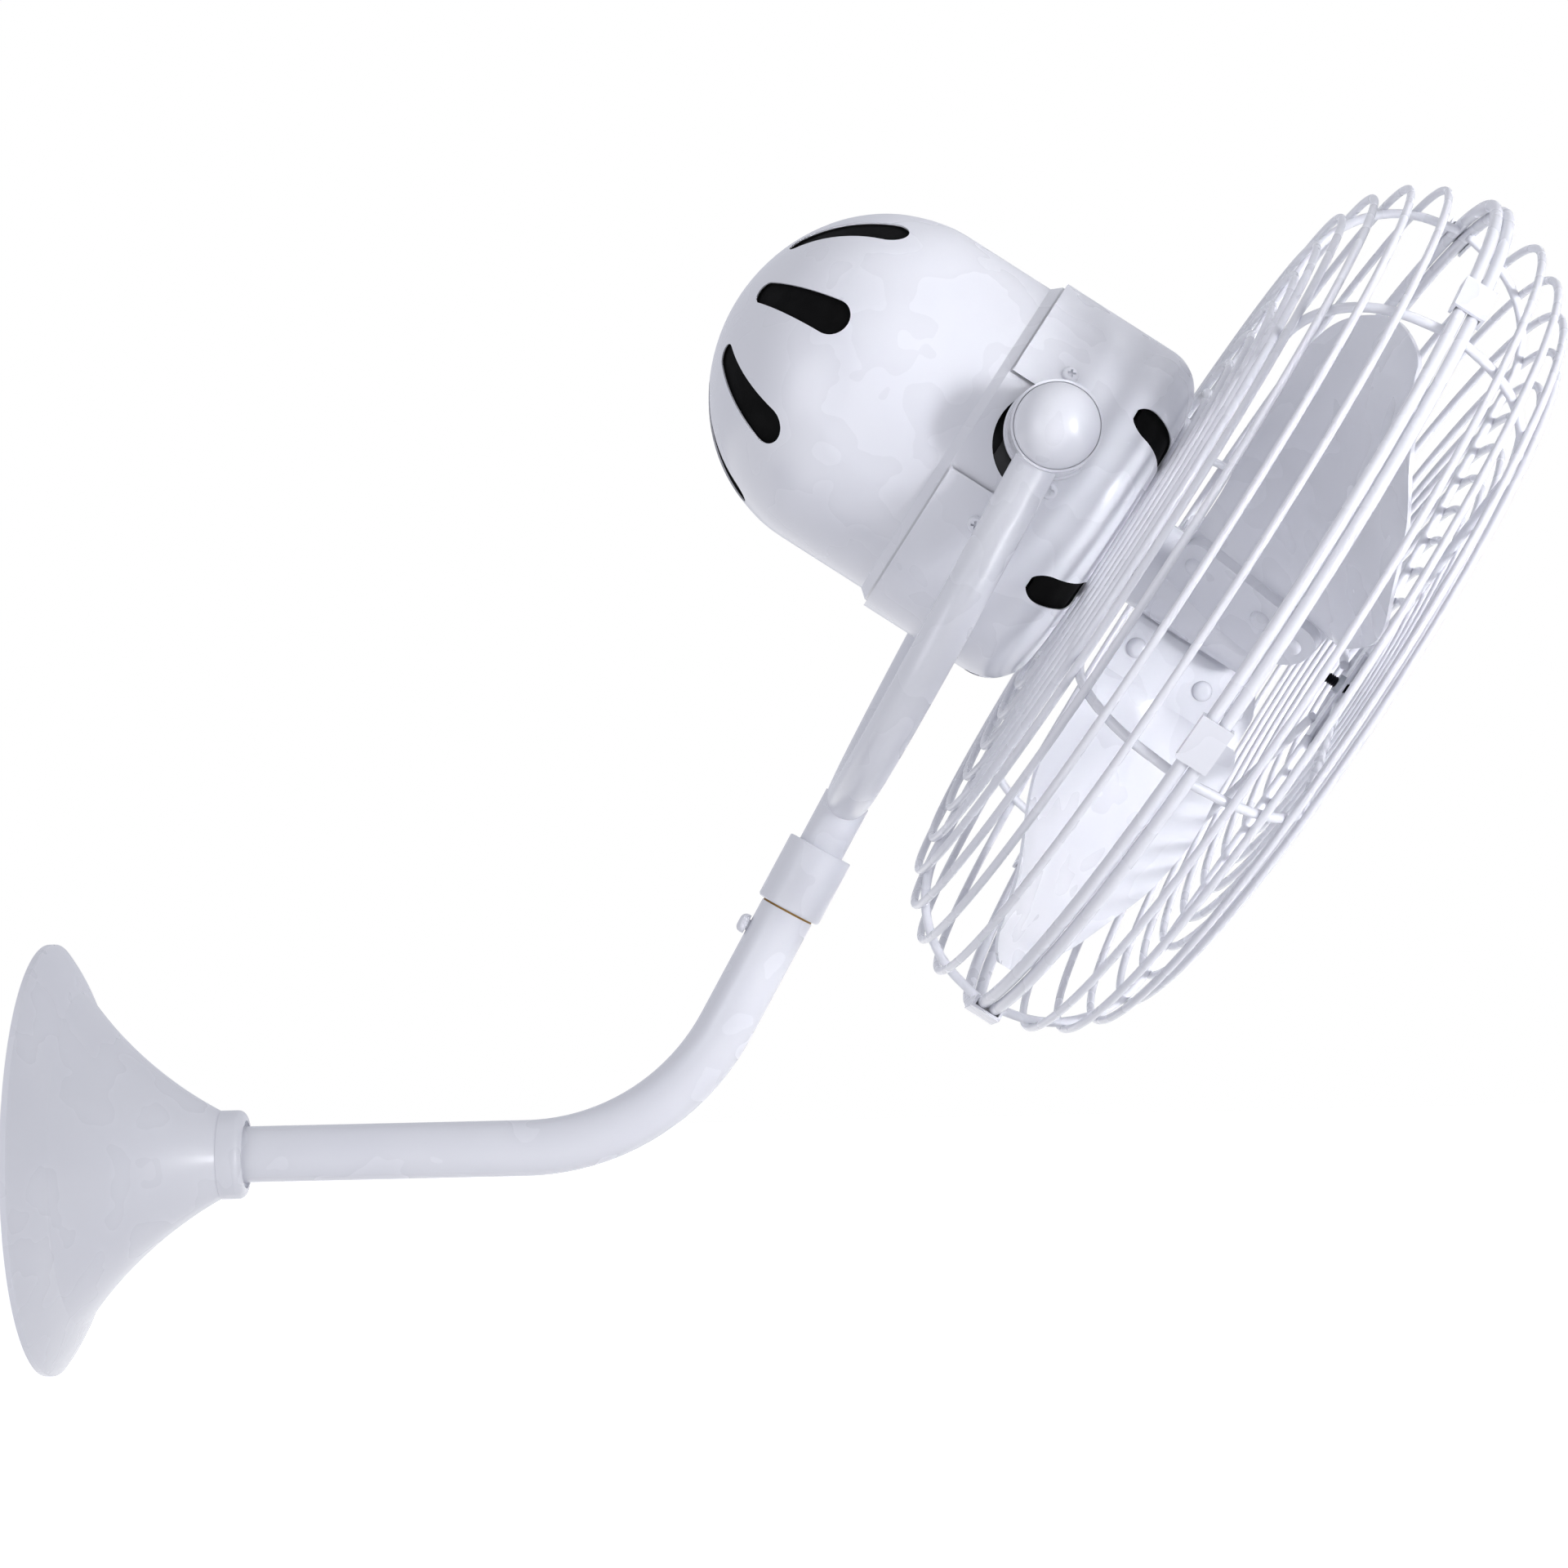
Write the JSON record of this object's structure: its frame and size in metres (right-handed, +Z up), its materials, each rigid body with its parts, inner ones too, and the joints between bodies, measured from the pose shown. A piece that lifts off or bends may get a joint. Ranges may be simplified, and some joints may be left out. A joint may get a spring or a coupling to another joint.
{
  "type": "wall mounted fan",
  "caption": "Wall fan with a bell canopy, a bent tube arm, a swivelling U yoke, and a tilting domed motor head with paddle blades in a bowl-shaped wire guard.",
  "frame": {"origin": "on the wall, at the centre of the canopy and of the wall plate's four screw holes", "axes": "+X straight out from the wall along the arm's first run, +Y along the wall, +Z up"},
  "size_m": [0.6505, 0.4092, 0.4955],
  "materials": {
    "white_enamel": "gloss",
    "zinc_steel": "satin",
    "black_oxide": "satin",
    "bronze": "satin",
    "laminations": "satin",
    "copper_enamel": "satin",
    "cast_alloy": "matte",
    "black_castings": "satin",
    "capacitor_case": "gloss",
    "rubber": "matte",
    "screen_cloth": "matte",
    "lead_jacket": "matte"
  },
  "bodies": {
    "arm": {"wall_plate": "zinc_steel", "arm_socket": "cast_alloy", "socket_screws": "zinc_steel", "socket_grubs": "black_oxide", "canopy_bell": "white_enamel", "canopy_neck": "white_enamel", "canopy_grub": "black_oxide", "lead_grommet": "rubber", "supply_lead": "lead_jacket", "arm_tube": "white_enamel", "swivel_bush": "bronze", "arm_lock_screw": "white_enamel"},
    "yoke": {"swivel_spindle": "zinc_steel", "swivel_collar": "white_enamel", "yoke": "white_enamel", "tilt_bushes": "bronze", "ball_cap_near": "white_enamel", "ball_cap_far": "white_enamel"},
    "head": {"motor_bracket": "black_castings", "tilt_washers": "white_enamel", "pivot_bolts": "zinc_steel", "pivot_washers": "zinc_steel", "rear_dome": "white_enamel", "front_drum": "white_enamel", "case_screws": "white_enamel", "front_bearing": "zinc_steel", "rear_bearing": "zinc_steel", "rear_end_shield": "black_castings", "tie_bolts": "zinc_steel", "stator_core": "laminations", "windings": "copper_enamel", "capacitor": "capacitor_case", "rear_guard": "white_enamel", "guard_clamps": "white_enamel", "clamp_screws": "white_enamel", "front_guard": "white_enamel", "guard_clips": "white_enamel", "badge": "white_enamel", "badge_strap": "white_enamel", "badge_nut": "zinc_steel", "badge_stud": "black_oxide", "dome_screen": "screen_cloth", "drum_screen": "screen_cloth"},
    "rotor": {"motor_shaft": "zinc_steel", "rotor_core": "laminations", "fan_hub": "white_enamel", "hub_grub": "black_oxide", "blade_1": "white_enamel", "blade_2": "white_enamel", "blade_3": "white_enamel", "blade_rivets": "white_enamel"}
  },
  "joints": [
    {"name": "yoke_swivel", "type": "hinge", "parent": "arm", "child": "yoke", "pos_m": [0.31888, 0, 0.1], "axis": [0.4924, 0, 0.8704], "range_deg": [-90, 90]},
    {"name": "head_tilt", "type": "hinge", "parent": "yoke", "child": "head", "pos_m": [0.42869, 0, 0.29409], "axis": [0, 1, 0], "range_deg": [-90, 6]},
    {"name": "rotor_spin", "type": "hinge", "parent": "head", "child": "rotor", "pos_m": [0.42125, 0, 0.28439], "axis": [0.832, 0, -0.5548], "continuous": true}
  ]
}
